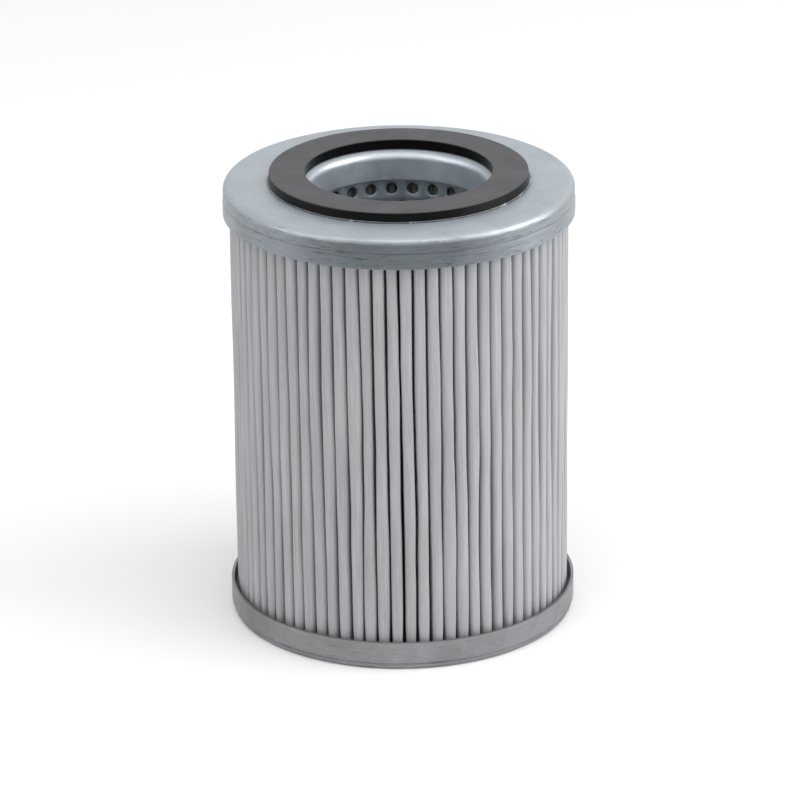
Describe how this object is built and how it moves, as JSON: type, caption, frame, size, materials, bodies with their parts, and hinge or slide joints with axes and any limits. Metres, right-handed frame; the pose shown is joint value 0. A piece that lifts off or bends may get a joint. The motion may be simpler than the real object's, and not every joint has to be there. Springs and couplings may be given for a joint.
{
  "type": "pleated filter element",
  "caption": "Round hydraulic filter element: folded media round a perforated tube, between two pressed end caps, with a flat gasket round the open outlet.",
  "frame": {"origin": "centre of the bottom end cap's base", "axes": "+Z along the element's axis, from the closed bottom cap up to the gasket and the outlet"},
  "size_m": [0.1, 0.1, 0.1326],
  "materials": {
    "cap_steel": "galvanised sheet, lightly scuffed",
    "core_steel": "dull perforated sheet",
    "media": "matt fibrous sheet",
    "seam_adhesive": "set adhesive",
    "resin": "set potting resin",
    "bond": "thin clear adhesive",
    "gasket": "satin black"
  },
  "bodies": {
    "root": {"top_end_cap": "cap_steel", "bottom_end_cap": "cap_steel", "core_tube": "core_steel", "pleated_media": "media", "media_seam": "seam_adhesive", "bottom_potting": "resin", "top_potting": "resin", "gasket_bond": "bond", "sealing_gasket": "gasket"}
  },
  "joints": []
}
